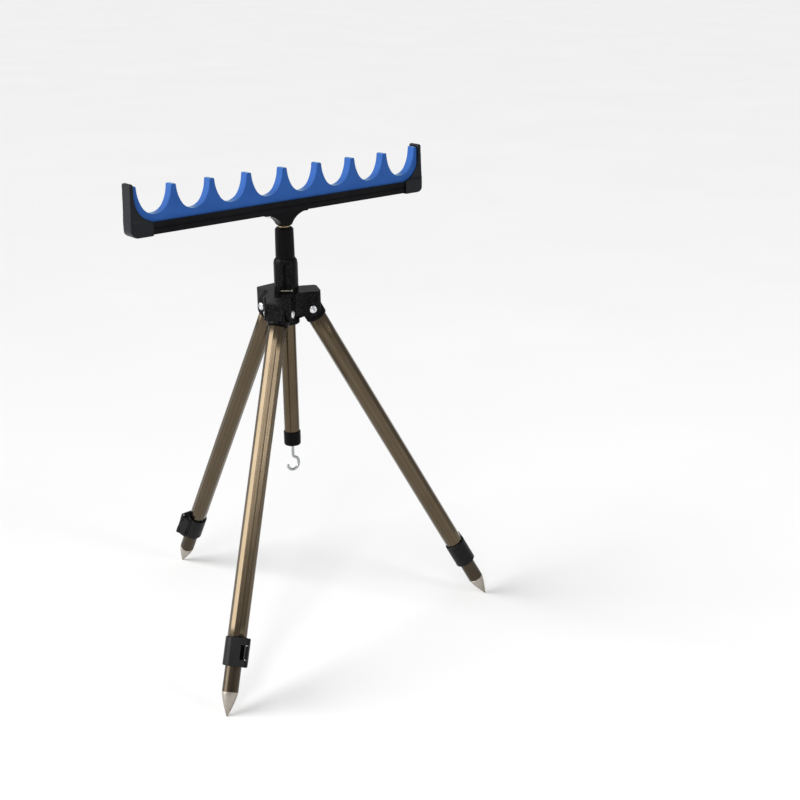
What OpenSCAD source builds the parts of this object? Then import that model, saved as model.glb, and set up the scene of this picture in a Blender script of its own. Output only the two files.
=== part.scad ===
// Feeder tripod rod rest: folding, telescopic tripod with a lifting centre column
// and an eight-notch foam rod bar. Millimetres, +Z up, origin on the column axis at ground level,
// +X along the rod bar, +Y away from the angler.

/* [Rod bar] */
// Number of rod notches in the foam
notch_n = 8; // [4:1:8]
// Distance between two notch centres
notch_pitch = 48.5; // [46:0.5:56]
// Radius of the round bottom of a notch
notch_r = 17.6; // [16:0.1:18.2]
// Width of a notch at the top
notch_w = 42; // [39:0.5:42]
// Foam thickness, front to back
foam_t = 12; // [8:0.5:12]
// Height of the lowest point of a notch above the ground
notch_z = 537.6; // [536:0.2:540]

/* [Centre column] */
// Outside diameter of the column tube
column_d = 18.1; // [16:0.1:18.1]
// Lift of the column above its lowest position
column_lift = 0; // [0:1:125]
// Turn of the head on the column, in degrees
head_turn = 0; // [-180:1:180]

/* [Legs] */
// Direction of the first leg, in degrees from the bar's own line
leg_turn = 95; // [60:1:120]
// Angle between a leg and the vertical when it is spread
splay = 28.4; // [24:0.1:30]
// Outside diameter of the upper leg tube
upper_d = 22; // [21.4:0.1:22]
// Outside diameter of the lower leg tube
lower_d = 18.3; // [16:0.1:18.3]
// Lengthwise grooves on the upper leg tube
flutes = 12; // [0:1:16]
// Extension of the lower legs
leg_extend = 0; // [0:1:280]
// Fold of the legs towards the column, in degrees
leg_fold = 0; // [0:0.1:28]
// Opening of the lock levers, in degrees
lever_open = 0; // [0:1:100]

/* [Hidden] */
$fn = 64;
eps = 0.01;

// crown
crown_top = 423.5;
plate_t = 4;
boss_r = 14.1;
boss_bottom = 384;
collar_top = 462.3;
bore_r = 10.95;
hinge_r = 27.5;
hinge_z = 402.3;
cheek_in = 11.3;
cheek_out = 16.2;
lobe_u = 10.5;
stop_gap = 12.8;
lobe_r = 5;
web_r = 14;
cheek_low = 8;
bolt_az = -131;
bolt_r = 15.9;
bolt_z = 426.2;

// hinge hardware
pin_r = 3;
pin_half = 15.9;
screw_r = 4.5;
screw_h = 2;

// legs, measured along the leg from its hinge
tube_top = 15.2;
tube_bottom = 384;
tube_wall = 1.2;
upper_r = upper_d / 2;
lock_top = 370;
lock_bottom = 402;
lock_r = 12.6;
lower_r = lower_d / 2;
lower_wall = 1.1;
lower_top = 40;
lower_bottom = 430;
tip_r = 1.2;
tip_s = (hinge_z - tip_r) / cos(splay);
knuckle_r = 12.5;
knuckle_half = 11;
lever_pin_x = -9.7;
lever_pin_y = 16.3;
ear_r = 3;
lever_low = 371;
lever_high = 401;

// column
col_r = column_d / 2;
col_wall = 1.1;
fit_top = 498.5;
fit_low = 462.6;
cap_low = 232;
cap_high = 250;
wire_r = 1.7;
bowl_r = 8;
bowl_z = 207.5;
bend_r = bowl_r * cos(70) / (1 - cos(70));
stud_r = 4.76;

// head
neck_z = 500;
bar_low = 516;
bar_high = 529.5;
bar_half = 8;
bar_wall = 1.7;
bar_floor = 2;
notch_half = notch_w / 2;
notch_c = notch_z + notch_r;
peak_z = 567;
notch_d = peak_z - notch_z;
side_r = (pow(notch_half, 2) + pow(notch_d - notch_r, 2) - pow(notch_r, 2)) / (2 * (notch_half - notch_r));
notch_join = 2.2 - (notch_d - notch_r) * notch_r / (side_r - notch_r);
end_post = 5;
row_half = (notch_n - 1) * notch_pitch / 2;
foam_end = row_half + 21 + end_post - 0.15;
cap_in = foam_end + 0.2;
cap_x = cap_in + 5.2;
sleeve_x = cap_x + 0.9;
foam_lift = 2.6;
sleeve_in = row_half + 5.25;
sleeve_half = 9.8;
post_half = 9;
cap_edge_r = 25.6;
cap_edge_z = 555.6;
cap_top = 572.5;
sleeve_low = 514.6;
sleeve_high = 532;

black = [0.07, 0.07, 0.075];
bronze = [0.42, 0.34, 0.24];
zinc = [0.75, 0.76, 0.78];
brass = [0.72, 0.58, 0.3];
foam_blue = [0.13, 0.3, 0.68];

function leg_az(i) = leg_turn + 120 * i;

// ---- frames -------------------------------------------------------------

// radial frame of leg i: x outward, y around, z up, origin at the hinge
module lobe_frame(i) {
    rotate([0, 0, leg_az(i)]) translate([hinge_r, 0, hinge_z]) children();
}

// frame of leg i: z down the leg, x towards the column, y around, origin at the hinge
module leg_frame(i) {
    lobe_frame(i) rotate([0, 180 - splay + leg_fold, 0]) children();
}

module lower_frame(i) {
    leg_frame(i) translate([0, 0, leg_extend]) children();
}

module column_frame() {
    translate([0, 0, column_lift]) children();
}

module head_frame() {
    column_frame() rotate([0, 0, head_turn]) children();
}

module collar_frame() {
    rotate([0, 0, bolt_az]) translate([bolt_r, 0, bolt_z]) children();
}

// ---- helpers ------------------------------------------------------------

module ring(z0, z1, ro, ri) {
    translate([0, 0, z0]) difference() {
        cylinder(h = z1 - z0, r = ro);
        translate([0, 0, -1]) cylinder(h = z1 - z0 + 2, r = ri);
    }
}

// solid of revolution about z from [r, z] pairs
module turned(profile) {
    rotate_extrude() polygon(profile);
}

module rod_y(r, half) {
    rotate([90, 0, 0]) translate([0, 0, -half]) cylinder(h = 2 * half, r = r);
}

// flat plate in the x-z plane from a polygon, y0 to y1
module plate_y(points, y0, y1) {
    translate([0, y1, 0]) rotate([90, 0, 0]) linear_extrude(y1 - y0) polygon(points);
}

// what a rounded corner of radius r leaves over: corner at the origin, body towards -x -z, along y
module corner_y(r, half) {
    difference() {
        translate([-r, -half, -r]) cube([r + 1, 2 * half, r + 1]);
        translate([-r, 0, -r]) rod_y(r, half + 1);
    }
}

// the same for an upright corner: body towards -x -y, from z0 to z1
module corner_z(r, z0, z1) {
    difference() {
        translate([-r, -r, z0]) cube([r + 1, r + 1, z1 - z0]);
        translate([-r, -r, z0 - 1]) cylinder(h = z1 - z0 + 2, r = r);
    }
}

// ---- crown --------------------------------------------------------------

// solid lobe that carries one leg, outline in the lobe frame
module lobe() {
    difference() {
        union() {
            plate_y([
                [-hinge_r + 6, -cheek_low], [-4.2, -cheek_low], [0, 0], [8.6, -2.5], [lobe_u, 5],
                [lobe_u, crown_top - hinge_z], [-hinge_r + 6, crown_top - hinge_z]
            ], -cheek_out, cheek_out);
            rod_y(9.5, cheek_out);
        }
        for (s = [0, 1]) mirror([0, s, 0])
            translate([lobe_u, cheek_out, 0]) corner_z(lobe_r, -12, crown_top - hinge_z + 1);
    }
}
// Soft inner corner between two lobes; x points along the line midway between them
module lobe_web() {
    corner = cheek_out / sin(60);
    centre = (cheek_out + web_r) / sin(60) - 0.15;
    foot = [centre - web_r * cos(30), web_r * sin(30)];
    translate([0, 0, hinge_z - cheek_low + 1.5])
        linear_extrude(crown_top - hinge_z + cheek_low - 1.5) polygon([
            for (a = [150:12:210]) [centre + web_r * cos(a), web_r * sin(a)],
            [foot[0] - 1.8, -foot[1] - 1], [corner - 5, 0], [foot[0] - 1.8, foot[1] + 1]
        ]);
}

// room for the knuckle; the slanted side is the stop for the spread leg
module leg_pocket() {
    web_u = lobe_u - 3.5;
    top = crown_top - hinge_z - plate_t;
    plate_y([
        [-hinge_r + 7.8, -30], [(stop_gap + 30 * sin(splay)) / cos(splay), -30],
        [web_u, (stop_gap - web_u * cos(splay)) / sin(splay)], [web_u, top], [-hinge_r + 7.8, top]
    ], -cheek_in, cheek_in);
}

module collar_ears() {
    translate([-4.4, -8, crown_top - bolt_z - 1]) cube([5.9, 14.8, 7.2]);
    translate([-4.4, -12, crown_top - bolt_z - 1]) cube([8.4, 6.8, 7.6]);
}

// three lobes with the leg pockets cut out
module crown_body() {
    difference() {
        union() {
            for (i = [0:2]) lobe_frame(i) lobe();
            for (i = [0:2]) rotate([0, 0, leg_az(i) + 60]) lobe_web();
        }
        for (i = [0:2]) lobe_frame(i) leg_pocket();
    }
}

module hub_crown() {
    color(black) difference() {
        union() {
            crown_body();
            turned([
                [0, boss_bottom], [boss_r - 1, boss_bottom], [boss_r, boss_bottom + 1], [boss_r, 456],
                [boss_r - 0.7, 460], [boss_r - 2.5, collar_top], [0, collar_top]
            ]);
            collar_frame() collar_ears();
        }
        for (i = [0:2]) lobe_frame(i) rod_y(pin_r + 0.05, cheek_out + 1);
        translate([0, 0, boss_bottom - 1]) cylinder(h = collar_top - boss_bottom + 2, r = bore_r);
        // pinch slot, gap round the bolt, and the bolt's hole
        rotate([0, 0, bolt_az]) translate([bore_r - 2, -1.75, crown_top + 1]) cube([10, 3.5, 32]);
        collar_frame() {
            translate([-1.7, -5.2, crown_top - bolt_z + 0.6]) cube([6, 10.4, 12]);
            rod_y(1.6, 14);
            rotate([90, 0, 0]) translate([0, 0, 8.05]) cylinder(h = 6, r = 3.3, $fn = 6);
        }
        // grip grooves round the collar
        for (k = [1:7]) rotate([0, 0, bolt_az + 45 * k])
            translate([boss_r + 0.7, 0, crown_top + 2]) cylinder(h = 30, r = 1.3, $fn = 24);
    }
}

module column_bushes() {
    color([0.2, 0.2, 0.2]) {
        ring(boss_bottom + 0.3, boss_bottom + 17, bore_r - 0.05, col_r + 0.3);
        ring(crown_top - 2, collar_top - 0.2, bore_r - 0.05, col_r + 0.3);
    }
}

module pivot_pins() {
    color(zinc) for (i = [0:2]) lobe_frame(i) difference() {
        rod_y(pin_r, pin_half);
        rod_y(2.05, pin_half + 1);
    }
}

module pivot_screw() {
    difference() {
        union() {
            rotate([-90, 0, 0]) {
                cylinder(h = screw_h * 0.55, r = screw_r);
                translate([0, 0, screw_h * 0.55]) cylinder(h = screw_h * 0.45, r1 = screw_r, r2 = screw_r * 0.72);
            }
            translate([0, -7, 0]) rotate([-90, 0, 0]) cylinder(h = 7.2, r = 2);
        }
        for (a = [45, 135]) rotate([0, a, 0]) translate([-2.4, screw_h - 1, -0.45]) cube([4.8, 3, 0.9]);
    }
}

module pivot_screws() {
    color(zinc) for (i = [0:2]) lobe_frame(i) for (s = [0, 1])
        rotate([0, 0, 180 * s]) translate([0, cheek_out + 0.05, 0]) pivot_screw();
}

module collar_bolt() {
    color(zinc) collar_frame() rotate([-90, 0, 0]) difference() {
        union() {
            translate([0, 0, -11]) cylinder(h = 17.9, r = 1.5);
            translate([0, 0, 6.85]) cylinder(h = 2.4, r = 2.5);
        }
        translate([-3, -0.4, 8.4]) cube([6, 0.8, 2]);
    }
}

module collar_nut() {
    color(zinc) collar_frame() rotate([-90, 0, 0]) translate([0, 0, -10.5]) difference() {
        cylinder(h = 2.4, r = 3.18, $fn = 6);
        translate([0, 0, -1]) cylinder(h = 5, r = 1.55);
    }
}

// ---- centre column ------------------------------------------------------

module column_tube() {
    color(bronze) column_frame() ring(236.2, 484, col_r, col_r - col_wall);
}

module column_top() {
    color(black) column_frame() difference() {
        turned([
            [0, fit_low], [10.95, fit_low], [11.25, fit_low + 0.6], [10.8, fit_top - 2.3],
            [8.6, fit_top], [0, fit_top]
        ]);
        translate([0, 0, fit_low - 1]) cylinder(h = 484.3 - fit_low + 1, r = col_r + 0.05);
        translate([0, 0, 480]) cylinder(h = 20, r = 5.55);
        for (k = [0:7]) rotate([0, 0, 45 * k + 22.5])
            translate([11.7, 0, fit_low + 3]) cylinder(h = 28, r = 1.2, $fn = 24);
    }
}

module thread_insert() {
    color(brass) column_frame() ring(485, fit_top - 0.1, 5.5, stud_r + 0.06);
}

module column_cap() {
    color(black) column_frame() difference() {
        turned([
            [0, cap_low], [7.8, cap_low], [9.4, cap_low + 0.7], [10.1, cap_low + 2.2], [10.2, cap_high - 1],
            [9.7, cap_high], [0, cap_high]
        ]);
        translate([0, 0, 236]) cylinder(h = 20, r = col_r + 0.05);
        translate([0, 0, cap_low - 1]) cylinder(h = 6, r = wire_r + 0.05);
    }
}

// wire hook: straight shank, a bend to the side, then the open bowl
module weight_hook() {
    z0 = bowl_z + (bowl_r + bend_r) * sin(70);
    color(zinc) column_frame() {
        translate([0, 0, z0]) cylinder(h = 240 - z0, r = wire_r);
        translate([bend_r, 0, z0]) rotate([90, 0, 0]) rotate([0, 0, 176])
            rotate_extrude(angle = 78) translate([bend_r, 0]) circle(r = wire_r - 0.04);
        translate([0, 0, bowl_z]) rotate([90, 0, 0]) rotate([0, 0, -172])
            rotate_extrude(angle = 242) translate([bowl_r, 0]) circle(r = wire_r);
        translate([bowl_r * cos(188), 0, bowl_z + bowl_r * sin(188)]) sphere(r = wire_r - 0.1);
    }
}

// ---- head ---------------------------------------------------------------

module head_stud() {
    color(brass) head_frame() translate([0, 0, 486.5]) cylinder(h = 25, r = stud_r);
}

module head_washer() {
    color(brass) head_frame() ring(fit_top + 0.2, neck_z - 0.05, 6.8, stud_r + 0.05);
}

module bar_saddle() {
    flare_r = 25.1;
    flare_x = 29;
    color(black) head_frame() difference() {
        union() {
            intersection() {
                difference() {
                    translate([-flare_x, -6.8, neck_z]) cube([2 * flare_x, 13.6, bar_low - 1 - neck_z]);
                    for (s = [-1, 1]) translate([s * flare_x, 0, bar_low - 1 - flare_r]) rod_y(flare_r, 8);
                }
                translate([0, 0, neck_z]) cylinder(h = 17, r1 = 6.8, r2 = 42);
            }
            translate([-flare_x - 0.5, -7.6, bar_low - 1.25]) cube([2 * flare_x + 1, 15.2, 1.2]);
        }
        translate([0, 0, neck_z - 1]) cylinder(h = 13.2, r = stud_r + 0.05);
        for (s = [-1, 1]) translate([s * 20, 0, 0]) {
            translate([0, 0, 505]) cylinder(h = 8.6, r = 3.4);
            translate([0, 0, 510]) cylinder(h = 8, r = 1.8);
        }
    }
}

module saddle_screws() {
    color(zinc) head_frame() for (s = [-1, 1]) translate([s * 20, 0, 0]) difference() {
        union() {
            translate([0, 0, 511.5]) cylinder(h = 2, r1 = 2.6, r2 = 3.2);
            translate([0, 0, 513.4]) cylinder(h = 4.5, r = 1.7);
        }
        for (a = [0, 90]) rotate([0, 0, a]) translate([-1.8, -0.35, 511]) cube([3.6, 0.7, 1.4]);
    }
}

module rest_bar() {
    half_x = cap_in + 0.7;
    color(black) head_frame() difference() {
        translate([-half_x, -bar_half, bar_low]) cube([2 * half_x, 2 * bar_half, bar_high - bar_low]);
        translate([-half_x - 1, -bar_half + bar_wall, bar_low + bar_floor])
            cube([2 * half_x + 2, 2 * (bar_half - bar_wall), bar_high]);
        for (s = [-1, 1]) translate([s * 20, 0, bar_low - 1]) cylinder(h = 5, r = 1.8);
        for (s = [-1, 1]) translate([-half_x - 1, s * (bar_half + 0.35), bar_low + 6.75])
            rotate([0, 90, 0]) cylinder(h = 2 * half_x + 2, r = 1, $fn = 24);
    }
}

// notch: two long side arcs that lead into a tighter round bottom
module notch_cutter() {
    rod_y(notch_r, foam_t);
    intersection() {
        intersection_for (s = [-1, 1])
            translate([s * (side_r - notch_half), 0, peak_z - notch_c]) rod_y(side_r, foam_t);
        translate([-notch_half - 1, -foam_t, notch_join]) cube([2 * notch_half + 2, 2 * foam_t, 60]);
    }
}

module foam_insert() {
    round_r = 1.8;
    end_in = row_half + notch_half + 0.15;
    color(foam_blue) head_frame() difference() {
        union() {
            translate([-foam_end, -foam_t / 2, bar_low + bar_floor + 0.1])
                cube([2 * foam_end, foam_t, peak_z - bar_low - bar_floor - 0.1]);
            for (s = [0, 1]) rotate([0, 0, 180 * s]) translate([end_in, -foam_t / 2, peak_z - 8])
                cube([foam_end - end_in, foam_t, foam_lift + 8]);
        }
        for (k = [0:notch_n - 1]) translate([k * notch_pitch - row_half, 0, notch_c]) {
            notch_cutter();
            for (s = [0, 1]) if (k != (notch_n - 1) * s) rotate([0, 0, 180 * s])
                translate([-notch_half, 0, peak_z - notch_c]) corner_y(round_r, foam_t);
        }
        for (s = [0, 1]) rotate([0, 0, 180 * s])
            translate([end_in, 0, peak_z + foam_lift]) mirror([1, 0, 0]) corner_y(round_r, foam_t);
    }
}

// end cap for the +x end: a sleeve over the bar and a post behind the foam
module end_cap() {
    difference() {
        union() {
            translate([sleeve_in, -sleeve_half, sleeve_low])
                cube([sleeve_x - sleeve_in, 2 * sleeve_half, sleeve_high - sleeve_low]);
            plate_y([
                [sleeve_in, sleeve_high - 1], [sleeve_x - 0.1, sleeve_high - 1], [cap_x, sleeve_high + 10],
                [cap_x - 0.8, cap_top - 6], [cap_x - 0.8, cap_top], [sleeve_in, cap_top]
            ], -post_half, post_half);
        }
        // curved inner edge that follows the end notch
        translate([row_half, 0, cap_edge_z]) rod_y(cap_edge_r, 12);
        translate([row_half - 5, -12, cap_edge_z]) cube([cap_in - row_half + 5, 24, 40]);
        // room for the bar and for the foam
        translate([sleeve_in - 1, -bar_half - 0.15, bar_low - 0.15])
            cube([cap_in + 1 - sleeve_in + 1, 2 * bar_half + 0.3, bar_high - bar_low + 0.3]);
        translate([sleeve_in - 1, -foam_t / 2 - 0.3, bar_low + 4])
            cube([cap_in - sleeve_in + 1, foam_t + 0.6, 80]);
        // rounded corners
        translate([sleeve_x, 0, sleeve_low]) mirror([0, 0, 1]) corner_y(8, 12);
        translate([cap_x - 0.8, 0, cap_top]) corner_y(1.5, 12);
        for (s = [0, 1]) mirror([0, s, 0]) {
            translate([sleeve_x, sleeve_half, 0]) corner_z(2.5, sleeve_low - 1, sleeve_high + 0.1);
            translate([cap_x, post_half, cap_top]) rotate([0, 0, 90]) corner_y(2.5, 15);
        }
    }
}

module end_cap_right() {
    color(black) head_frame() end_cap();
}

module end_cap_left() {
    color(black) head_frame() rotate([0, 0, 180]) end_cap();
}

// ---- legs ---------------------------------------------------------------

module knuckle() {
    difference() {
        union() {
            rod_y(knuckle_r, knuckle_half);
            intersection() {
                translate([-knuckle_r, -knuckle_half, 0]) cube([2 * knuckle_r, 2 * knuckle_half, 11.5]);
                cylinder(h = 12, r = 15);
            }
            turned([
                [0, 10.5], [knuckle_r - 0.6, 10.5], [knuckle_r, 11.1], [knuckle_r, 14.4],
                [knuckle_r - 0.6, 15], [0, 15]
            ]);
            cylinder(h = 33, r = upper_r - tube_wall - 0.05);
        }
        rod_y(pin_r + 0.05, knuckle_half + 1);
        translate([0, 0, 16]) cylinder(h = 20, r = upper_r - tube_wall - 2.2);
    }
}

module upper_tube() {
    difference() {
        ring(tube_top, tube_bottom, upper_r, upper_r - tube_wall);
        if (flutes > 0) for (k = [0:flutes - 1]) rotate([0, 0, 360 / flutes * k])
            translate([upper_r + 0.6, 0, tube_top - 1]) cylinder(h = tube_bottom - tube_top + 2, r = 1.1, $fn = 24);
    }
}

module lock_ear(z0, z1) {
    translate([lever_pin_x - ear_r, -2, z0]) cube([2 * ear_r, lever_pin_y + 2, z1 - z0]);
    translate([lever_pin_x, lever_pin_y, z0]) cylinder(h = z1 - z0, r = ear_r);
}

module lock_body() {
    difference() {
        union() {
            turned([
                [0, lock_top], [lock_r - 0.8, lock_top], [lock_r, lock_top + 0.8], [lock_r, lock_bottom - 0.8],
                [lock_r - 0.8, lock_bottom], [0, lock_bottom]
            ]);
            lock_ear(lock_top, lock_top + 8);
            lock_ear(lock_bottom - 8, lock_bottom);
            // fixed lug between the ears
            translate([lever_pin_x - ear_r, -2, lock_top + 2])
                cube([2 * ear_r - 0.4, 12.4, lock_bottom - lock_top - 4]);
        }
        translate([0, 0, lock_top - 1]) cylinder(h = tube_bottom - lock_top + 1.2, r = upper_r + 0.05);
        translate([0, 0, tube_bottom - 1]) cylinder(h = 30, r = lower_r + 0.3);
        // pinch slit under the lever
        rotate([0, 0, 20]) translate([-0.8, 7, tube_bottom + 1]) cube([1.6, 8, 30]);
        translate([lever_pin_x, lever_pin_y, lock_top - 1]) cylinder(h = 40, r = 1.35);
    }
}

module lock_pin() {
    translate([lever_pin_x, lever_pin_y, lock_top + 0.2]) cylinder(h = lock_bottom - lock_top - 0.4, r = 1.3);
}

module lock_lever() {
    translate([lever_pin_x, lever_pin_y, 0]) rotate([0, 0, lever_open])
    translate([-lever_pin_x, -lever_pin_y, 0]) difference() {
        union() {
            // handle beside the ears, full height
            translate([0, 0, lever_low]) linear_extrude(lever_high - lever_low) polygon([
                [-5.9, 12], [3.2, 11.6], [3.2, 14.6], [2.2, 15.8], [-5.9, 18]
            ]);
            // web from the handle to the barrel, between the ears
            translate([0, 0, lock_top + 8.5]) linear_extrude(lock_bottom - lock_top - 17) polygon([
                [-6.4, 12.3], [-5, 12], [-5, 17.6], [lever_pin_x + 0.2, 18.5], [lever_pin_x + 0.2, 14.1]
            ]);
            translate([lever_pin_x, lever_pin_y, lock_top + 8.5])
                cylinder(h = lock_bottom - lock_top - 17, r = 2.6);
        }
        translate([0, 0, lever_low - 1]) cylinder(h = 40, r = lock_r + 0.4);
        translate([lever_pin_x, lever_pin_y, lock_top]) cylinder(h = 40, r = 1.38);
        // thumb relief along the handle's free edge
        translate([5.4, 15.6, lever_low + 6]) cylinder(h = lever_high - lever_low - 12, r = 3.2);
    }
}

module lower_tube() {
    ring(lower_top, lower_bottom, lower_r, lower_r - lower_wall);
}

module leg_bush() {
    difference() {
        union() {
            ring(lower_top - 2, lower_top + 14, 9.5, lower_r - lower_wall + 0.1);
        }
        translate([0, 0, lower_top - 0.05]) cylinder(h = 20, r = lower_r + 0.05);
    }
}

module spike() {
    translate([0, 0, tip_s]) sphere(r = tip_r);
    turned([
        [0, lower_bottom - 18], [lower_r - lower_wall - 0.05, lower_bottom - 18],
        [lower_r - lower_wall - 0.05, lower_bottom + 0.05], [lower_r, lower_bottom + 0.05],
        [lower_r - 0.7, lower_bottom + 5], [lower_r - 2.6, lower_bottom + 13], [tip_r + 2.3, tip_s - 6],
        [tip_r * 0.95, tip_s + 0.3], [0, tip_s + 0.3]
    ]);
}

module leg_knuckle(i) { color(black) leg_frame(i) knuckle(); }
module leg_upper_tube(i) { color(bronze) leg_frame(i) upper_tube(); }
module leg_lock_body(i) { color(black) leg_frame(i) lock_body(); }
module leg_lock_lever(i) { color(black) leg_frame(i) lock_lever(); }
module leg_lock_pin(i) { color(zinc) leg_frame(i) lock_pin(); }
module leg_lower_tube(i) { color(bronze) lower_frame(i) lower_tube(); }
module leg_bush_at(i) { color([0.2, 0.2, 0.2]) lower_frame(i) leg_bush(); }
module leg_spike(i) { color(zinc) lower_frame(i) spike(); }

// ---- nodes --------------------------------------------------------------

hub_crown();
column_bushes();
pivot_pins();
pivot_screws();
collar_bolt();
collar_nut();
column_tube();
column_top();
thread_insert();
column_cap();
weight_hook();
head_stud();
head_washer();
bar_saddle();
saddle_screws();
rest_bar();
foam_insert();
end_cap_left();
end_cap_right();
leg_knuckle(1);  // leg_a_knuckle
leg_upper_tube(1);  // leg_a_upper_tube
leg_lock_body(1);  // leg_a_lock_body
leg_lock_lever(1);  // leg_a_lock_lever
leg_lock_pin(1);  // leg_a_lock_pin
leg_lower_tube(1);  // leg_a_lower_tube
leg_bush_at(1);  // leg_a_bush
leg_spike(1);  // leg_a_spike
leg_knuckle(0);  // leg_b_knuckle
leg_upper_tube(0);  // leg_b_upper_tube
leg_lock_body(0);  // leg_b_lock_body
leg_lock_lever(0);  // leg_b_lock_lever
leg_lock_pin(0);  // leg_b_lock_pin
leg_lower_tube(0);  // leg_b_lower_tube
leg_bush_at(0);  // leg_b_bush
leg_spike(0);  // leg_b_spike
leg_knuckle(2);  // leg_c_knuckle
leg_upper_tube(2);  // leg_c_upper_tube
leg_lock_body(2);  // leg_c_lock_body
leg_lock_lever(2);  // leg_c_lock_lever
leg_lock_pin(2);  // leg_c_lock_pin
leg_lower_tube(2);  // leg_c_lower_tube
leg_bush_at(2);  // leg_c_bush
leg_spike(2);  // leg_c_spike
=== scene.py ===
import math

import bmesh
import bpy
from mathutils import Matrix, Vector


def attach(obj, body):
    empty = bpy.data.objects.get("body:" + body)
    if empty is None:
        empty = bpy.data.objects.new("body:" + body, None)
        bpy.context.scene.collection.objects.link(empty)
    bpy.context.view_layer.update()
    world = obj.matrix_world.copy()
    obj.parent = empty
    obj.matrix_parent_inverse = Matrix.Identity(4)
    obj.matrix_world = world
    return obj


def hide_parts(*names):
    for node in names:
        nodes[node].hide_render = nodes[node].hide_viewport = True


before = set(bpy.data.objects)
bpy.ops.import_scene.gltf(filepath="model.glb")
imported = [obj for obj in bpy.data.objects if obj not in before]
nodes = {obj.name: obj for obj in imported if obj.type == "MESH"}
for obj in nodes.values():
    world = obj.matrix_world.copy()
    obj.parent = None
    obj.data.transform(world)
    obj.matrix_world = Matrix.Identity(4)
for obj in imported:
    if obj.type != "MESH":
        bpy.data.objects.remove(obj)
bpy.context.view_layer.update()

MM = 0.001


# ---------------------------------------------------------------- sizes in mm, as in the CAD

# legs, measured down each leg from its hinge
HINGE_R = 27.5
HINGE_Z = 402.3
SPLAY = math.radians(28.4)
LEG_AZ = {"a": 215.0, "b": 95.0, "c": 335.0}
UPPER_R = 11.0
UPPER_WALL = 1.2
UPPER_TOP = 15.2
UPPER_END = 384.0
LOWER_R = 9.15
LOWER_WALL = 1.1
LOWER_TOP = 40.0
LOWER_END = 430.0
TIP_R = 1.2
TIP_S = (HINGE_Z - TIP_R) / math.cos(SPLAY)

# column
COLUMN_R = 9.05
COLUMN_WALL = 1.1
COLUMN_LOW = 236.2
COLUMN_TOP = 484.0

# wire hook under the column
HOOK_TOP = 239.0
BOWL_R = 8.0
BOWL_Z = 207.5
WIRE_R = 1.7

# outer face of a lobe's cheeks, from the lobe's middle
CHEEK_OUT = 16.2

# foam and its row of notches
FOAM_FOOT = 518.1
PEAK_Z = 567.0
NOTCH_Z = 537.6
NOTCHES = 8
PITCH = 48.5
NOTCH_HALF = 21.0
NOTCH_R = 17.6
NOTCH_DEPTH = PEAK_Z - NOTCH_Z
ROW_HALF = (NOTCHES - 1) * PITCH / 2
FOAM_END = ROW_HALF + 25.85
FOAM_HALF = 6.0


# ---------------------------------------------------------------- details shaped here only, in mm

# lengthwise flutes round the upper tubes; a power under 1 leaves the lands between them narrow
FLUTES = 12
FLUTE_DEPTH = 0.34
FLUTE_POWER = 0.95

# the ends stand taller than the fingers between the notches
END_TOP = PEAK_Z + 2.6
LIP_R = 1.7
RIM_R = 0.9


# ---------------------------------------------------------------- places

def leg_matrix(leg):
    """z down the leg, x towards the column, y around, origin at the hinge, in mm."""
    az = math.radians(LEG_AZ[leg])
    outward = Vector((math.cos(az), math.sin(az), 0))
    around = Vector((-math.sin(az), math.cos(az), 0))
    up = Vector((0, 0, 1))
    down_leg = math.sin(SPLAY) * outward - math.cos(SPLAY) * up
    inward = -math.cos(SPLAY) * outward - math.sin(SPLAY) * up
    m = Matrix((inward, around, down_leg)).transposed().to_4x4()
    m.translation = outward * HINGE_R + up * HINGE_Z
    return m


def lobe_matrix(leg):
    """x outward, y around, z up, origin at the hinge, in mm."""
    az = math.radians(LEG_AZ[leg])
    m = Matrix.Rotation(az, 4, "Z")
    m.translation = Vector((math.cos(az) * HINGE_R, math.sin(az) * HINGE_R, HINGE_Z))
    return m


def to_metres(m):
    out = m.copy()
    out.translation = m.translation * MM
    return out


# ---------------------------------------------------------------- meshes

def mesh_object(name, verts, faces, matrix=None, sharp=35.0):
    """A new object from verts in mm. Edges sharper than the given angle stay sharp."""
    mesh = bpy.data.meshes.new(name)
    mesh.from_pydata([Vector(v) * MM for v in verts], [], faces)
    bm = bmesh.new()
    bm.from_mesh(mesh)
    bmesh.ops.recalc_face_normals(bm, faces=bm.faces)
    for face in bm.faces:
        face.smooth = True
    for edge in bm.edges:
        if len(edge.link_faces) == 2 and edge.calc_face_angle(0) > math.radians(sharp):
            edge.smooth = False
    bm.to_mesh(mesh)
    bm.free()
    mesh.update()
    obj = bpy.data.objects.new(name, mesh)
    bpy.context.scene.collection.objects.link(obj)
    if matrix is not None:
        obj.matrix_world = to_metres(matrix)
    return obj


def lathe(profile, segments, radius_at=None):
    """Verts and faces of a turned part; profile is a closed loop of (r, z), and r may be 0."""
    verts = []
    faces = []
    rings = []
    for r, z in profile:
        base = len(verts)
        if r == 0:
            verts.append((0, 0, z))
        else:
            for i in range(segments):
                a = 2 * math.pi * i / segments
                shaped = radius_at(r, a) if radius_at else r
                verts.append((shaped * math.cos(a), shaped * math.sin(a), z))
        rings.append(range(base, len(verts)))
    for j, p in enumerate(rings):
        q = rings[(j + 1) % len(rings)]
        if len(p) == 1 and len(q) == 1:
            continue
        for i in range(segments):
            k = (i + 1) % segments
            if len(p) == 1:
                faces.append((p[0], q[i], q[k]))
            elif len(q) == 1:
                faces.append((p[i], q[0], p[k]))
            else:
                faces.append((p[i], q[i], q[k], p[k]))
    return verts, faces


def round_end(centre, outward, radius, steps=5):
    """Stations (centre, radius) of a wire's half-round end, from the wire to an all but closed tip."""
    tip_r = 1e-4
    stations = []
    for step in range(1, steps + 1):
        turn = step / steps * math.pi / 2
        stations.append((centre + outward * radius * math.sin(turn), radius * math.cos(turn) + tip_r))
    return stations


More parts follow.
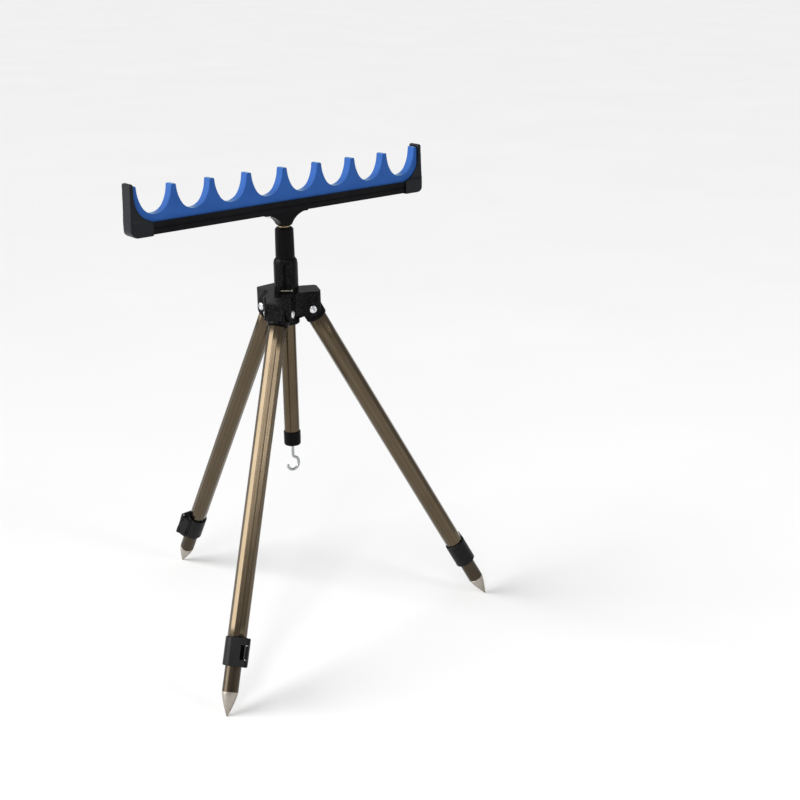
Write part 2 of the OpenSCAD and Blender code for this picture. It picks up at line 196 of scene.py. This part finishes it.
def sweep(points, radius, sides=24):
    """Verts and faces of a round wire along points in the plane y = 0, with rounded ends."""
    points = [Vector(p) for p in points]
    last = len(points) - 1
    tangents = []
    for i in range(len(points)):
        tangents.append((points[min(i + 1, last)] - points[max(i - 1, 0)]).normalized())
    stations = []
    for centre, r in reversed(round_end(points[0], -tangents[0], radius)):
        stations.append((centre, tangents[0], r))
    for centre, tangent in zip(points, tangents):
        stations.append((centre, tangent, radius))
    for centre, r in round_end(points[-1], tangents[-1], radius):
        stations.append((centre, tangents[-1], r))
    verts = []
    across = Vector((0, 1, 0))
    for centre, tangent, r in stations:
        other = tangent.cross(across)
        for i in range(sides):
            a = 2 * math.pi * i / sides
            verts.append(centre + r * (across * math.cos(a) + other * math.sin(a)))
    faces = []
    for j in range(len(stations) - 1):
        for i in range(sides):
            k = (i + 1) % sides
            near = j * sides
            far = near + sides
            faces.append((near + i, near + k, far + k, far + i))
    faces.append(tuple(range(sides))[::-1])
    faces.append(tuple(len(verts) - sides + i for i in range(sides)))
    return verts, faces


def place(obj, body, node, material):
    """Gives a new piece its material and body, and hides the CAD node that it stands for."""
    obj.data.materials.append(material)
    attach(obj, body)
    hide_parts(node)


# ---------------------------------------------------------------- shader helpers

def new_material(name):
    """A material with one Principled shader: the material, its tree, the shader, object coordinates."""
    mat = bpy.data.materials.new(name)
    mat.use_nodes = True
    tree = mat.node_tree
    tree.nodes.clear()
    out = tree.nodes.new("ShaderNodeOutputMaterial")
    shader = tree.nodes.new("ShaderNodeBsdfPrincipled")
    tree.links.new(shader.outputs[0], out.inputs[0])
    coords = tree.nodes.new("ShaderNodeTexCoord")
    return mat, tree, shader, coords.outputs["Object"]


def stretched(tree, vector, scale):
    mapping = tree.nodes.new("ShaderNodeMapping")
    mapping.inputs["Scale"].default_value = scale
    tree.links.new(vector, mapping.inputs["Vector"])
    return mapping.outputs[0]


def noise(tree, vector, scale=1.0, detail=3.0, rough=0.55):
    node = tree.nodes.new("ShaderNodeTexNoise")
    node.inputs["Scale"].default_value = scale
    node.inputs["Detail"].default_value = detail
    node.inputs["Roughness"].default_value = rough
    tree.links.new(vector, node.inputs["Vector"])
    return node.outputs["Fac"]


def value_range(tree, value, low, high, between=(0.3, 0.7)):
    """Maps the input values in between to low and high."""
    node = tree.nodes.new("ShaderNodeMapRange")
    node.inputs["From Min"].default_value = between[0]
    node.inputs["From Max"].default_value = between[1]
    node.inputs["To Min"].default_value = low
    node.inputs["To Max"].default_value = high
    tree.links.new(value, node.inputs["Value"])
    return node.outputs[0]


def maths(tree, operation, *values):
    """A math node; each value is a number or an output."""
    node = tree.nodes.new("ShaderNodeMath")
    node.operation = operation
    for socket, value in zip(node.inputs, values):
        if isinstance(value, (int, float)):
            socket.default_value = value
        else:
            tree.links.new(value, socket)
    return node.outputs[0]


def mix(tree, share, first, second):
    """Mixes two colours, each an (r, g, b) or an output, by an output's share of the second."""
    node = tree.nodes.new("ShaderNodeMix")
    node.data_type = "RGBA"
    share_socket, first_socket, second_socket = node.inputs[0], node.inputs[6], node.inputs[7]
    tree.links.new(share, share_socket)
    for socket, colour in ((first_socket, first), (second_socket, second)):
        if isinstance(colour, tuple):
            socket.default_value = (*colour, 1)
        else:
            tree.links.new(colour, socket)
    return node.outputs[2]


def bump(tree, height, distance, strength, normal=None):
    node = tree.nodes.new("ShaderNodeBump")
    node.inputs["Distance"].default_value = distance
    node.inputs["Strength"].default_value = strength
    tree.links.new(height, node.inputs["Height"])
    if normal is not None:
        tree.links.new(normal, node.inputs["Normal"])
    return node.outputs[0]


def edges(tree, strength, between):
    """Strength on a mesh's outward edges, 0 on its flats."""
    geometry = tree.nodes.new("ShaderNodeNewGeometry")
    return value_range(tree, geometry.outputs["Pointiness"], 0, strength, between)


def axes(tree, vector):
    """A vector's outputs, by the names X, Y and Z."""
    node = tree.nodes.new("ShaderNodeSeparateXYZ")
    tree.links.new(vector, node.inputs[0])
    return node.outputs


def shade(colour, factor, lift=0.0):
    return tuple(min(1, c * factor + lift) for c in colour)


# ---------------------------------------------------------------- materials

def moulded_plastic(name, base, rough, gloss=0.06, grain=2600, grain_depth=0.00002):
    """Black moulded plastic: fine eroded grain, soft blotches and rubbed edges."""
    mat, tree, shader, co = new_material(name)
    blotch = noise(tree, co, scale=90, detail=4)
    colour = mix(tree, value_range(tree, blotch, 0, 1), base, shade(base, 1.3, 0.0005))
    patches = value_range(tree, noise(tree, co, scale=400), 0, 0.55, between=(0.45, 0.7))
    rubbed = maths(tree, "MULTIPLY", edges(tree, 1, between=(0.54, 0.62)), patches)
    colour = mix(tree, rubbed, colour, shade(base, 4, 0.014))
    tree.links.new(colour, shader.inputs["Base Color"])
    tree.links.new(value_range(tree, blotch, rough - 0.04, rough + 0.05), shader.inputs["Roughness"])
    shader.inputs["Specular IOR Level"].default_value = gloss
    fine = noise(tree, co, scale=grain, detail=2)
    tree.links.new(bump(tree, fine, grain_depth, 0.7), shader.inputs["Normal"])
    return mat


def flute_shade_mask(tree, co, count):
    """Mask for painted shade on a fluted tube: 1 on the narrow land between two lengthwise flutes, 0 in
    the flutes; z runs along the tube.
    """
    place_on_tube = axes(tree, co)
    around = maths(tree, "ARCTAN2", place_on_tube["Y"], place_on_tube["X"])
    wave = maths(tree, "SINE", maths(tree, "MULTIPLY", around, count / 2))
    land = maths(tree, "SUBTRACT", 1.0, maths(tree, "ABSOLUTE", wave))
    patches = value_range(tree, noise(tree, stretched(tree, co, (600, 600, 20))), 0.55, 1.0)
    return maths(tree, "MULTIPLY", maths(tree, "POWER", land, 1.5), patches)


def anodised(name, dark, light, rough, lines_scale, depth, coat=0.0, flutes=0):
    """Anodised aluminium drawn along one axis: fine long lines, slow colour drift, handling marks, and on
    fluted tubes painted shade on the flute lands.
    """
    mat, tree, shader, co = new_material(name)
    lines = noise(tree, stretched(tree, co, lines_scale), detail=5, rough=0.7)
    drift = noise(tree, co, scale=22)
    marks = noise(tree, co, scale=260, detail=6, rough=0.75)
    colour = mix(tree, value_range(tree, drift, 0, 1), dark, light)
    colour = mix(tree, value_range(tree, lines, 0, 0.35, between=(0.35, 0.75)), colour, shade(dark, 0.72))
    colour = mix(tree, value_range(tree, marks, 0, 0.25, between=(0.62, 0.75)), colour, shade(light, 1.5))
    # painted shade: the lands between the flutes are darkened so that the fluting shows under even light
    if flutes:
        colour = mix(tree, flute_shade_mask(tree, co, flutes), colour, shade(dark, 0.8))
    tree.links.new(colour, shader.inputs["Base Color"])
    shader.inputs["Metallic"].default_value = 1.0
    shader.inputs["Coat Weight"].default_value = coat
    shader.inputs["Coat Roughness"].default_value = 0.16
    tree.links.new(value_range(tree, lines, rough - 0.05, rough + 0.1), shader.inputs["Roughness"])
    tree.links.new(bump(tree, lines, depth, 0.6), shader.inputs["Normal"])
    return mat


def plated(name, base, rough):
    """Plated metal with hairline scratches and faint staining."""
    mat, tree, shader, co = new_material(name)
    stain = noise(tree, co, scale=240, detail=4)
    scratches = noise(tree, stretched(tree, co, (2000, 2000, 500)), detail=4, rough=0.7)
    colour = mix(tree, value_range(tree, stain, 0, 0.8, between=(0.45, 0.7)), base, shade(base, 0.7))
    tree.links.new(colour, shader.inputs["Base Color"])
    shader.inputs["Metallic"].default_value = 1.0
    tree.links.new(value_range(tree, scratches, rough - 0.04, rough + 0.12), shader.inputs["Roughness"])
    tree.links.new(bump(tree, scratches, 0.00001, 0.5), shader.inputs["Normal"])
    return mat


def turned_metal(name, base, rough, soil, tip_zone):
    """Machined point: turning rings across the axis, and ground-in soil towards the tip."""
    mat, tree, shader, co = new_material(name)
    rings = noise(tree, stretched(tree, co, (40, 40, 5200)), rough=0.6)
    wear = noise(tree, co, scale=320, detail=6, rough=0.7)
    near_tip = value_range(tree, axes(tree, co)["Z"], 0.0, 0.85, between=tip_zone)
    soiled = maths(tree, "MULTIPLY", near_tip, value_range(tree, wear, 0, 1, between=(0.4, 0.65)))
    colour = mix(tree, value_range(tree, rings, 0, 0.5), base, shade(base, 0.62))
    colour = mix(tree, soiled, colour, soil)
    tree.links.new(colour, shader.inputs["Base Color"])
    shader.inputs["Metallic"].default_value = 0.85
    tree.links.new(value_range(tree, wear, rough - 0.06, rough + 0.16), shader.inputs["Roughness"])
    tree.links.new(bump(tree, rings, 0.00003, 0.7), shader.inputs["Normal"])
    return mat


def foam_material(name, deep, pale, speck_colour, rim_sheen_colour):
    """Closed-cell foam: fine cell texture, slow colour drift, and paler rims that are a painted sheen."""
    mat, tree, shader, co = new_material(name)
    drift = noise(tree, co, scale=36, detail=4)
    speck = noise(tree, co, scale=1400)
    colour = mix(tree, value_range(tree, drift, 0, 1), deep, pale)
    colour = mix(tree, value_range(tree, speck, 0, 0.4, between=(0.5, 0.75)), colour, speck_colour)
    # painted sheen: the foam's outward rims are lightened towards a pale blue
    colour = mix(tree, edges(tree, 0.5, between=(0.53, 0.6)), colour, rim_sheen_colour)
    tree.links.new(colour, shader.inputs["Base Color"])
    tree.links.new(value_range(tree, speck, 0.66, 0.86), shader.inputs["Roughness"])
    shader.inputs["Sheen Weight"].default_value = 0.85
    shader.inputs["Sheen Roughness"].default_value = 0.32
    shader.inputs["Sheen Tint"].default_value = (0.75, 1.0, 0.95, 1)
    shader.inputs["Specular IOR Level"].default_value = 0.25
    cells = tree.nodes.new("ShaderNodeTexVoronoi")
    cells.inputs["Scale"].default_value = 1900
    tree.links.new(co, cells.inputs["Vector"])
    soft = bump(tree, drift, 0.0004, 0.25)
    tree.links.new(bump(tree, cells.outputs["Distance"], 0.00012, 0.55, soft), shader.inputs["Normal"])
    return mat


HUB = moulded_plastic("hub_plastic", (0.0022, 0.0022, 0.0025), rough=0.3)
CLAMP = moulded_plastic("clamp_plastic", (0.007, 0.007, 0.0075), rough=0.36, gloss=0.11,
                        grain=2200, grain_depth=0.00003)
CAPS = moulded_plastic("cap_plastic", (0.003, 0.0038, 0.006), rough=0.36, gloss=0.2,
                       grain=1800, grain_depth=0.00003)
NYLON = moulded_plastic("bush_nylon", (0.005, 0.005, 0.0055), rough=0.5)

# the drawn lines run along x in the bar and along z in the tubes
ALONG_BAR = (14, 2600, 2600)
ALONG_TUBE = (3200, 3200, 10)
BAR = anodised("black_bar", (0.008, 0.008, 0.009), (0.014, 0.014, 0.0155), rough=0.36,
               lines_scale=ALONG_BAR, depth=0.00002)
GROOVED = anodised("bronze_grooved", (0.102, 0.077, 0.048), (0.126, 0.096, 0.061), rough=0.2,
                   lines_scale=ALONG_TUBE, depth=0.000004, coat=0.12, flutes=FLUTES)
PLAIN = anodised("bronze_plain", (0.088, 0.064, 0.038), (0.11, 0.081, 0.049), rough=0.24,
                 lines_scale=ALONG_TUBE, depth=0.000005, coat=0.12)
# painted shade: the lower tubes get a darker copy of the bronze, standing in for the light that falls off
# down the legs
SHADED_LOWER_BRONZE = anodised("bronze_lower_painted_shade", (0.056, 0.043, 0.029), (0.072, 0.056, 0.038), rough=0.3,
                  lines_scale=ALONG_TUBE, depth=0.000005, coat=0.08)

ZINC = plated("bright_zinc", (0.72, 0.73, 0.75), rough=0.2)
WIRE = plated("hook_wire_zinc", (0.40, 0.41, 0.42), rough=0.24)
BRASS = plated("satin_brass", (0.42, 0.32, 0.17), rough=0.3)
DULL = plated("dulled_zinc", (0.17, 0.16, 0.13), rough=0.34)
POINT = turned_metal("turned_point", (0.42, 0.385, 0.335), rough=0.3, soil=(0.16, 0.12, 0.085),
                     tip_zone=((LOWER_END + 8) * MM, (TIP_S + 1) * MM))
FOAM = foam_material("blue_foam", deep=(0.010, 0.070, 0.285), pale=(0.016, 0.088, 0.335),
                     speck_colour=(0.03, 0.11, 0.36), rim_sheen_colour=(0.08, 0.19, 0.44))


# ---------------------------------------------------------------- carried-over CAD nodes

WELD_WITHIN = 0.002


def repaint(node, material):
    """A CAD node in its own material, with its doubled points joined."""
    obj = nodes[node]
    obj.data.materials.clear()
    obj.data.materials.append(material)
    weld = obj.modifiers.new("weld", "WELD")
    weld.merge_threshold = WELD_WITHIN * MM
    return obj


def dress(node, material, width, segments=2):
    """Keeps a CAD node, with its edges broken by a bevel of the given width in mm."""
    obj = repaint(node, material)
    for poly in obj.data.polygons:
        poly.use_smooth = True
    flat = obj.modifiers.new("flat", "DECIMATE")
    flat.decimate_type = "DISSOLVE"
    flat.angle_limit = math.radians(0.6)
    edge = obj.modifiers.new("edge", "BEVEL")
    edge.width = width * MM
    edge.segments = segments
    edge.limit_method = "ANGLE"
    edge.angle_limit = math.radians(28)
    edge.use_clamp_overlap = True
    normals = obj.modifiers.new("normals", "WEIGHTED_NORMAL")
    normals.keep_sharp = False


def soften(node, material, cell=0.42, passes=42):
    """Keeps a CAD node, with every edge well rounded as on a soft moulding; cell in mm."""
    obj = repaint(node, material)
    skin = obj.modifiers.new("skin", "REMESH")
    skin.mode = "VOXEL"
    skin.voxel_size = cell * MM
    skin.use_smooth_shade = True
    relax = obj.modifiers.new("relax", "SMOOTH")
    relax.factor = 0.5
    relax.iterations = passes


dress("hub_crown", HUB, 0.55, 3)
dress("column_top", HUB, 0.35)
dress("column_cap", HUB, 0.3)
dress("bar_saddle", HUB, 0.4)
dress("column_bushes", NYLON, 0.2)
dress("pivot_pins", ZINC, 0.15)
dress("collar_bolt", DULL, 0.2)
dress("collar_nut", DULL, 0.15)
dress("thread_insert", BRASS, 0.15)
dress("head_stud", BRASS, 0.2)
dress("head_washer", BRASS, 0.15)
dress("saddle_screws", ZINC, 0.12)
dress("rest_bar", BAR, 0.35)
soften("end_cap_left", CAPS)
soften("end_cap_right", CAPS)
for leg in LEG_AZ:
    dress(f"leg_{leg}_knuckle", HUB, 0.4)
    dress(f"leg_{leg}_lock_body", CLAMP, 0.4, 3)
    dress(f"leg_{leg}_lock_lever", CLAMP, 0.45, 3)
    dress(f"leg_{leg}_lock_pin", ZINC, 0.15)
    dress(f"leg_{leg}_bush", NYLON, 0.2)


# ---------------------------------------------------------------- tubes

TUBE_SIDES = 96
FLUTED_SIDES = 240
SPIKE_SIDES = 72
LEG_RINGS = 12
COLUMN_RINGS = 10


def tube_profile(r, wall, start, end, rings):
    """Closed profile of a tube with broken edges."""
    inner = r - wall
    edge = 0.25
    side = end - start - 2 * edge
    outer = [(r, start + edge + side * i / rings) for i in range(rings + 1)]
    low = [(inner, start + edge), (inner + edge, start), (r - edge, start)]
    high = [(r - edge, end), (inner + edge, end), (inner, end - edge)]
    return low + outer + high


def fluted(r, a):
    """The upper tube's radius at an angle: its outer side is fluted and its bore stays round."""
    if r < UPPER_R - UPPER_WALL / 2:
        return r
    return r - FLUTE_DEPTH * abs(math.sin(FLUTES / 2 * a)) ** FLUTE_POWER


def upper_tube(leg):
    profile = tube_profile(UPPER_R, UPPER_WALL, UPPER_TOP, UPPER_END, LEG_RINGS)
    verts, faces = lathe(profile, FLUTED_SIDES, fluted)
    obj = mesh_object(f"upper_tube_{leg}", verts, faces, leg_matrix(leg), sharp=60)
    place(obj, f"leg_{leg}", f"leg_{leg}_upper_tube", GROOVED)


def lower_tube(leg):
    profile = tube_profile(LOWER_R, LOWER_WALL, LOWER_TOP, LOWER_END, LEG_RINGS)
    verts, faces = lathe(profile, TUBE_SIDES)
    obj = mesh_object(f"lower_tube_{leg}", verts, faces, leg_matrix(leg))
    place(obj, f"leg_{leg}_lower", f"leg_{leg}_lower_tube", SHADED_LOWER_BRONZE)


def column_tube():
    profile = tube_profile(COLUMN_R, COLUMN_WALL, COLUMN_LOW, COLUMN_TOP, COLUMN_RINGS)
    verts, faces = lathe(profile, TUBE_SIDES)
    obj = mesh_object("column_tube_shown", verts, faces)
    place(obj, "column", "column_tube", PLAIN)


# ---------------------------------------------------------------- spikes

def spike_profile():
    """Half section of a spike: plug inside the tube, shoulder on its rim, curved point, round tip."""
    plug_r = LOWER_R - LOWER_WALL - 0.05
    plug_top = LOWER_END - 18
    plug_edge = 0.4
    shoulder = LOWER_END + 0.1
    shoulder_edge = 0.3
    nose_r = 1.15
    steps = 24
    plug = [(0, plug_top), (plug_r - plug_edge, plug_top), (plug_r, plug_top + plug_edge),
            (plug_r, shoulder), (LOWER_R - shoulder_edge, shoulder)]
    start = shoulder + shoulder_edge
    point = []
    for i in range(steps + 1):
        along = i / steps
        share = along ** 1.35
        point.append((LOWER_R * (1 - share) + nose_r * share, start + (TIP_S - start) * along))
    tip = [(TIP_R * math.cos(b), TIP_S + TIP_R * math.sin(b)) for b in (0.3, 0.7, 1.1)]
    return plug + point + tip + [(0, TIP_S + TIP_R)]


def spike(leg):
    verts, faces = lathe(spike_profile(), SPIKE_SIDES)
    obj = mesh_object(f"spike_{leg}", verts, faces, leg_matrix(leg), sharp=40)
    place(obj, f"leg_{leg}_lower", f"leg_{leg}_spike", POINT)


for leg in LEG_AZ:
    upper_tube(leg)
    lower_tube(leg)
    spike(leg)
column_tube()


# ---------------------------------------------------------------- wire hook

def arc(centre_x, centre_z, r, start, end, steps):
    """Points on an arc in the plane y = 0, with both ends; angles in degrees."""
    points = []
    for i in range(steps + 1):
        a = math.radians(start + (end - start) * i / steps)
        points.append((centre_x + r * math.cos(a), 0, centre_z + r * math.sin(a)))
    return points


def hook_points():
    """Down from the cap, a bend out to the side, then round the bowl that holds the weight."""
    turn = 70
    bowl_end = -172
    across = math.cos(math.radians(turn))
    bend_r = BOWL_R * across / (1 - across)
    bend_z = BOWL_Z + (BOWL_R + bend_r) * math.sin(math.radians(turn))
    straight = [(0, 0, HOOK_TOP + (bend_z - HOOK_TOP) * i / 4) for i in range(4)]
    bend = arc(bend_r, bend_z, bend_r, 180, 180 + turn, 12)
    bowl = arc(0, BOWL_Z, BOWL_R, turn, bowl_end, 48)
    return straight + bend + bowl[1:]


hook_verts, hook_faces = sweep(hook_points(), WIRE_R)
place(mesh_object("hook_wire", hook_verts, hook_faces), "column", "weight_hook", WIRE)


# ---------------------------------------------------------------- hinge screws

HEAD_R = 4.5
HEAD_FOOT = 0.05
HEAD_RIM = 0.75
DOME_RISE = 1.38
RECESS_ARM = 2.5


def recess_depth(x, z):
    """Depth of the cross recess in a screw's head; its arms narrow and rise outwards."""
    reach = max(abs(x), abs(z))
    beside = min(abs(x), abs(z))
    if reach > RECESS_ARM:
        return 0.0
    along = reach / RECESS_ARM
    half_width = 0.62 - 0.22 * along
    wall_slope = 0.16
    inside = max(0.0, min(1.0, (half_width - beside) / wall_slope))
    end_depth = 0.35
    extra_in_centre = 1.25
    return inside * (end_depth + extra_in_centre * (1 - along))


def head_face(grid):
    """Points of the domed face on a square grid drawn in to a disc, which keeps the recess crisp."""
    face_r = HEAD_R - 0.05
    eighth = math.radians(45)
    points = []
    for i in range(grid + 1):
        for j in range(grid + 1):
            u = -1 + 2 * i / grid
            v = -1 + 2 * j / grid
            x = u * math.sqrt(1 - v * v / 2)
            z = v * math.sqrt(1 - u * u / 2)
            dome = math.sqrt(max(0.0, 1 - min(1.0, math.hypot(x, z)) ** 2.6))
            x *= face_r
            z *= face_r
            turned_x = x * math.cos(eighth) - z * math.sin(eighth)
            turned_z = x * math.sin(eighth) + z * math.cos(eighth)
            points.append((x, HEAD_RIM + DOME_RISE * dome - recess_depth(turned_x, turned_z), z))
    return points


def cross_head(grid=60):
    """Domed screw head with a cross recess, on +Y."""
    verts = head_face(grid)
    row = grid + 1
    faces = []
    for i in range(grid):
        for j in range(grid):
            a = i * row + j
            faces.append((a, a + 1, a + row + 1, a + row))
    border = [i * row for i in range(row)]
    border += [grid * row + j for j in range(1, row)]
    border += [i * row + grid for i in range(grid - 1, -1, -1)]
    border += list(range(grid - 1, 0, -1))
    # skirt down to the cheek, and its flat underside
    base = len(verts)
    for b in border:
        x, _, z = verts[b]
        out = HEAD_R / math.hypot(x, z)
        verts.append((x * out, HEAD_FOOT, z * out))
    around = len(border)
    for i in range(around):
        j = (i + 1) % around
        faces.append((border[i], border[j], base + j, base + i))
    faces.append(tuple(range(base, base + around)))
    return verts, faces


def shank():
    """Plain shank below the head, along -Y."""
    verts, faces = lathe([(0, -7), (1.7, -7), (2.0, -6.6), (2.0, 0.2), (0, 0.2)], 32)
    return [(x, z, y) for x, y, z in verts], faces


def hinge_screws():
    """Six screws as one piece, each with its cross turned to its own angle."""
    verts = []
    faces = []
    parts = (cross_head(), shank())
    for i, leg in enumerate(LEG_AZ):
        for end in (0, 1):
            flip = Matrix.Rotation(math.pi * end, 4, "Z")
            outward = Matrix.Translation((0, CHEEK_OUT + 0.02, 0))
            driven = Matrix.Rotation(math.radians(20 + 37 * end + 23 * i), 4, "Y")
            m = lobe_matrix(leg) @ flip @ outward @ driven
            for part_verts, part_faces in parts:
                base = len(verts)
                verts += [m @ Vector(p) for p in part_verts]
                faces += [tuple(base + corner for corner in face) for face in part_faces]
    obj = mesh_object("hinge_screws", verts, faces, sharp=32)
    place(obj, "crown", "pivot_screws", ZINC)


hinge_screws()


# ---------------------------------------------------------------- foam

def notch_half_width(below):
    """Half a notch's width at a depth below the peaks: a wide arc down each side, a round bottom."""
    drop = NOTCH_DEPTH - NOTCH_R
    wide_r = (NOTCH_HALF ** 2 + drop ** 2 - NOTCH_R ** 2) / (2 * (NOTCH_HALF - NOTCH_R))
    if below <= drop * wide_r / (wide_r - NOTCH_R):
        return NOTCH_HALF - wide_r + math.sqrt(wide_r ** 2 - below ** 2)
    return math.sqrt(NOTCH_R ** 2 - (below - drop) ** 2)


def lip(x, top, turns):
    """A rounded upper corner as (x, z), whose outer side lies at x; turns are angles in radians."""
    return [(x - LIP_R + LIP_R * math.sin(c), top - LIP_R + LIP_R * math.cos(c)) for c in turns]


def notch_side(tall, steps=30):
    """A notch's left side about x = 0 as (x, z), from the lip to just before the lowest point."""
    if tall:
        # a foam end's side goes straight down from its higher lip before it meets the arc
        x = -NOTCH_HALF - 0.2
        side = lip(x, END_TOP, (0.0, 0.4, 0.8, 1.2, 1.57))
        side += [(x, PEAK_Z - 0.6), (x + 0.06, PEAK_Z - 1.3)]
    else:
        side = lip(-NOTCH_HALF, PEAK_Z, (0.0, 0.4, 0.8, 1.2))
    for i in range(1, steps):
        below = NOTCH_DEPTH * math.sin(math.radians(90) * i / steps)
        if below > LIP_R:
            side.append((-notch_half_width(below), PEAK_Z - below))
    return side


def foam_end(x, steps=7):
    """A straight end of the foam as (x, z), from its foot upwards."""
    rise = END_TOP - 0.6 - FOAM_FOOT
    return [(x, FOAM_FOOT + rise * i / steps) for i in range(steps + 1)]


def foam_outline():
    """Front outline of the foam as (x, z), from the left end's foot round over the notches."""
    outline = foam_end(-FOAM_END)
    for n in range(NOTCHES):
        middle = n * PITCH - ROW_HALF
        outline += [(middle + x, z) for x, z in notch_side(tall=n == 0)]
        outline.append((middle, NOTCH_Z))
        outline += [(middle - x, z) for x, z in reversed(notch_side(tall=n == NOTCHES - 1))]
    return outline + foam_end(FOAM_END)[::-1]


def foam_layers():
    """The layers through the thickness as (y, inset): round rims, with even layers between."""
    rim_steps = 4
    middle_steps = 6
    rim = []
    for step in range(rim_steps + 1):
        turn = math.radians(90) * step / rim_steps
        rim.append((-FOAM_HALF + RIM_R * (1 - math.cos(turn)), RIM_R * (1 - math.sin(turn))))
    inner_half = FOAM_HALF - RIM_R
    middle = [(-inner_half + 2 * inner_half * i / middle_steps, 0.0) for i in range(1, middle_steps)]
    back = [(-y, inset) for y, inset in reversed(rim)]
    return rim + middle + back


def foam_bar():
    outline = foam_outline()
    n = len(outline)
    normals = []
    for i in range(n):
        along = Vector(outline[(i + 1) % n]) - Vector(outline[i - 1])
        normals.append(Vector((-along.y, along.x)).normalized())
    verts = []
    for y, inset in foam_layers():
        for (x, z), normal in zip(outline, normals):
            verts.append((x - normal.x * inset, y, z - normal.y * inset))
    faces = []
    for near in range(0, len(verts) - n, n):
        for i in range(n):
            k = (i + 1) % n
            faces.append((near + i, near + k, near + n + k, near + n + i))
    faces.append(tuple(range(n)))
    faces.append(tuple(reversed(range(len(verts) - n, len(verts)))))
    return mesh_object("foam_bar", verts, faces, sharp=50)


def triangulate_flats(obj):
    """Splits the big front and back faces, so that modifiers meet no many-sided face."""
    bm = bmesh.new()
    bm.from_mesh(obj.data)
    bmesh.ops.triangulate(bm, faces=[face for face in bm.faces if len(face.verts) > 4])
    bm.to_mesh(obj.data)
    bm.free()


foam = foam_bar()
triangulate_flats(foam)
even = foam.modifiers.new("normals", "WEIGHTED_NORMAL")
even.keep_sharp = False
place(foam, "head", "foam_insert", FOAM)


# ---------------------------------------------------------------- floor, in metres

FLOOR_HALF = 30

corners = [(-FLOOR_HALF, -FLOOR_HALF, 0), (FLOOR_HALF, -FLOOR_HALF, 0),
           (FLOOR_HALF, FLOOR_HALF, 0), (-FLOOR_HALF, FLOOR_HALF, 0)]
floor_mesh = bpy.data.meshes.new("floor")
floor_mesh.from_pydata(corners, [], [(0, 1, 2, 3)])
floor = bpy.data.objects.new("floor", floor_mesh)
bpy.context.scene.collection.objects.link(floor)

floor_paint, tree, shader, co = new_material("pale_floor")
clouds = value_range(tree, noise(tree, co, scale=2.0), 0, 1)
tree.links.new(mix(tree, clouds, (0.86, 0.86, 0.86), (0.88, 0.88, 0.88)), shader.inputs["Base Color"])
shader.inputs["Roughness"].default_value = 0.9
floor_mesh.materials.append(floor_paint)


# ---------------------------------------------------------------- light, in metres and watts

WORLD_STRENGTH = 0.45
KEY_FROM = (153, 28)
KEY_STRENGTH = 3.8
KEY_SPREAD = math.radians(50)
STRIP_FAR = 2.4
STRIP_WIDE = 0.45
LEGS_MIDDLE = Vector((0, 0, 0.25))

world = bpy.data.worlds.new("studio")
bpy.context.scene.world = world
world.use_nodes = True
background = world.node_tree.nodes["Background"]
background.inputs["Color"].default_value = (1, 1, 1, 1)
background.inputs["Strength"].default_value = WORLD_STRENGTH


def towards(az, el):
    """The direction of an azimuth and an elevation in degrees."""
    az = math.radians(az)
    el = math.radians(el)
    return Vector((math.cos(az) * math.cos(el), math.sin(az) * math.cos(el), math.sin(el)))


def hang(lamp, from_direction, centre, far):
    """Places a lamp far out in a direction from a centre, turned to face the centre."""
    obj = bpy.data.objects.new(lamp.name, lamp)
    bpy.context.scene.collection.objects.link(obj)
    obj.location = centre + from_direction * far
    obj.rotation_euler = (-from_direction).to_track_quat("-Z", "Y").to_euler()


def strip_light(name, az, el, tall, power):
    """A narrow soft box that draws one bright line down the front leg."""
    lamp = bpy.data.lights.new(name, "AREA")
    lamp.shape = "RECTANGLE"
    lamp.size = STRIP_WIDE
    lamp.size_y = tall
    lamp.energy = power
    hang(lamp, towards(az, el), LEGS_MIDDLE, STRIP_FAR)


key = bpy.data.lights.new("key", "SUN")
key.energy = KEY_STRENGTH
key.angle = KEY_SPREAD
hang(key, towards(*KEY_FROM), LEGS_MIDDLE, 0)
strip_light("front_strip", az=220, el=44, tall=1.3, power=12)
strip_light("side_strip", az=286, el=23, tall=0.8, power=7)


# ---------------------------------------------------------------- camera, at the photograph's angle

CAMERA_PLACE = (-0.9328, -1.3378, 0.8359)
CAMERA_AZ = math.radians(50.5268)
CAMERA_PITCH = math.radians(18.68)
CAMERA_ROLL = math.radians(-0.80)
CAMERA_LENS = 64.56
CAMERA_SENSOR = 36

cam_data = bpy.data.cameras.new("camera")
cam_data.lens = CAMERA_LENS
cam_data.sensor_width = CAMERA_SENSOR
cam = bpy.data.objects.new("camera", cam_data)
bpy.context.scene.collection.objects.link(cam)
level = Vector((math.cos(CAMERA_AZ), math.sin(CAMERA_AZ), 0))
forward = level * math.cos(CAMERA_PITCH) - Vector((0, 0, math.sin(CAMERA_PITCH)))
level_right = Vector((math.sin(CAMERA_AZ), -math.cos(CAMERA_AZ), 0))
level_up = level_right.cross(forward)
right = level_right * math.cos(CAMERA_ROLL) + level_up * math.sin(CAMERA_ROLL)
up = right.cross(forward)
cam_matrix = Matrix((right, up, -forward)).transposed().to_4x4()
cam_matrix.translation = Vector(CAMERA_PLACE)
cam.matrix_world = cam_matrix
bpy.context.scene.camera = cam

bpy.context.scene.view_settings.view_transform = "Standard"
